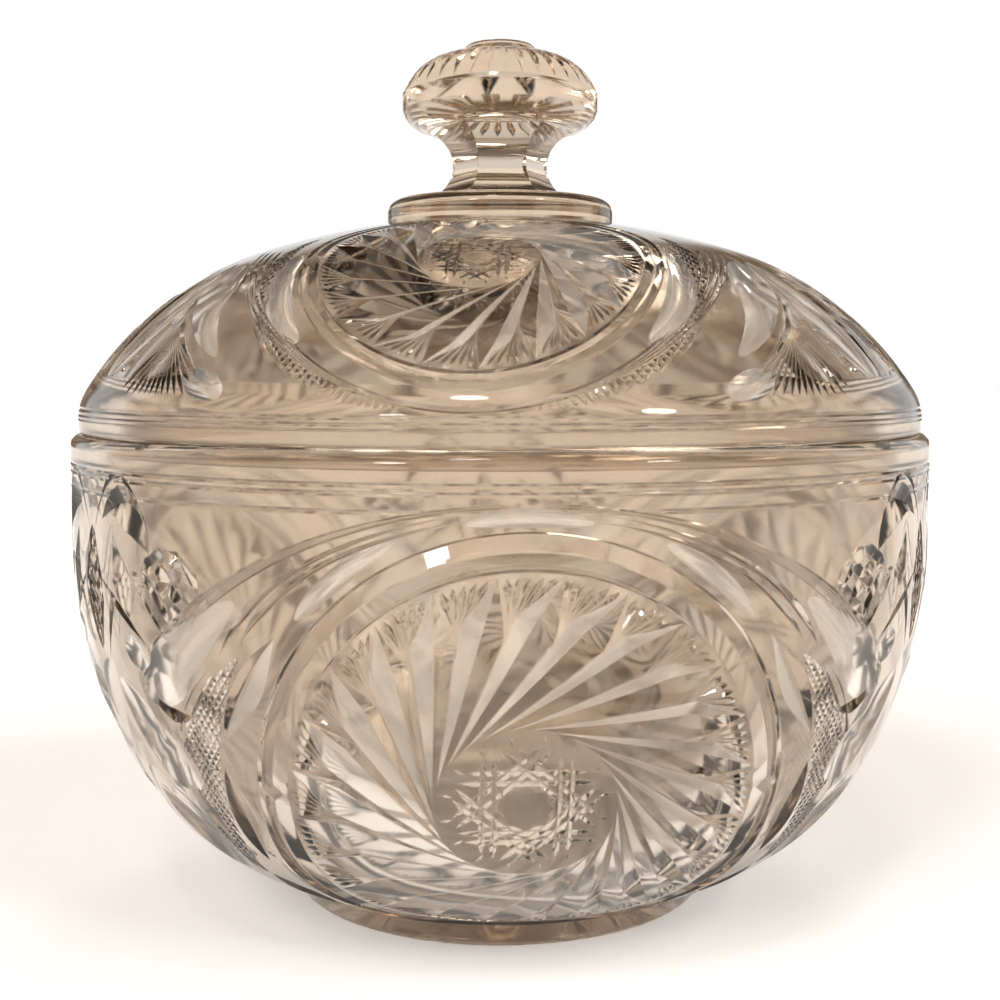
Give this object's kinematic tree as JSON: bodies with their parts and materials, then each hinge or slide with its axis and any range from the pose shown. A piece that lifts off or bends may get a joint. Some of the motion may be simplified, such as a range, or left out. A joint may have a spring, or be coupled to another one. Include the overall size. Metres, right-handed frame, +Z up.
{
  "type": "biscuit jar",
  "caption": "Round glass biscuit jar with a loose domed lid, a faceted stem and scalloped knob, and pressed pinwheel medallions.",
  "frame": {"origin": "on the table, under the centre of the foot ring", "axes": "+Z up along the jar's axis of turning; -Y towards the front medallion; +X to the right seen from the front"},
  "size_m": [0.18, 0.18, 0.18],
  "materials": {
    "clear_glass": "fire-polished"
  },
  "bodies": {
    "jar": {"jar_body": "clear_glass"},
    "lid": {"lid": "clear_glass"}
  },
  "joints": [
    {"name": "lid_lift", "type": "slide", "parent": "jar", "child": "lid", "axis": [0, 0, 1], "range_m": [0, 0.12]}
  ]
}
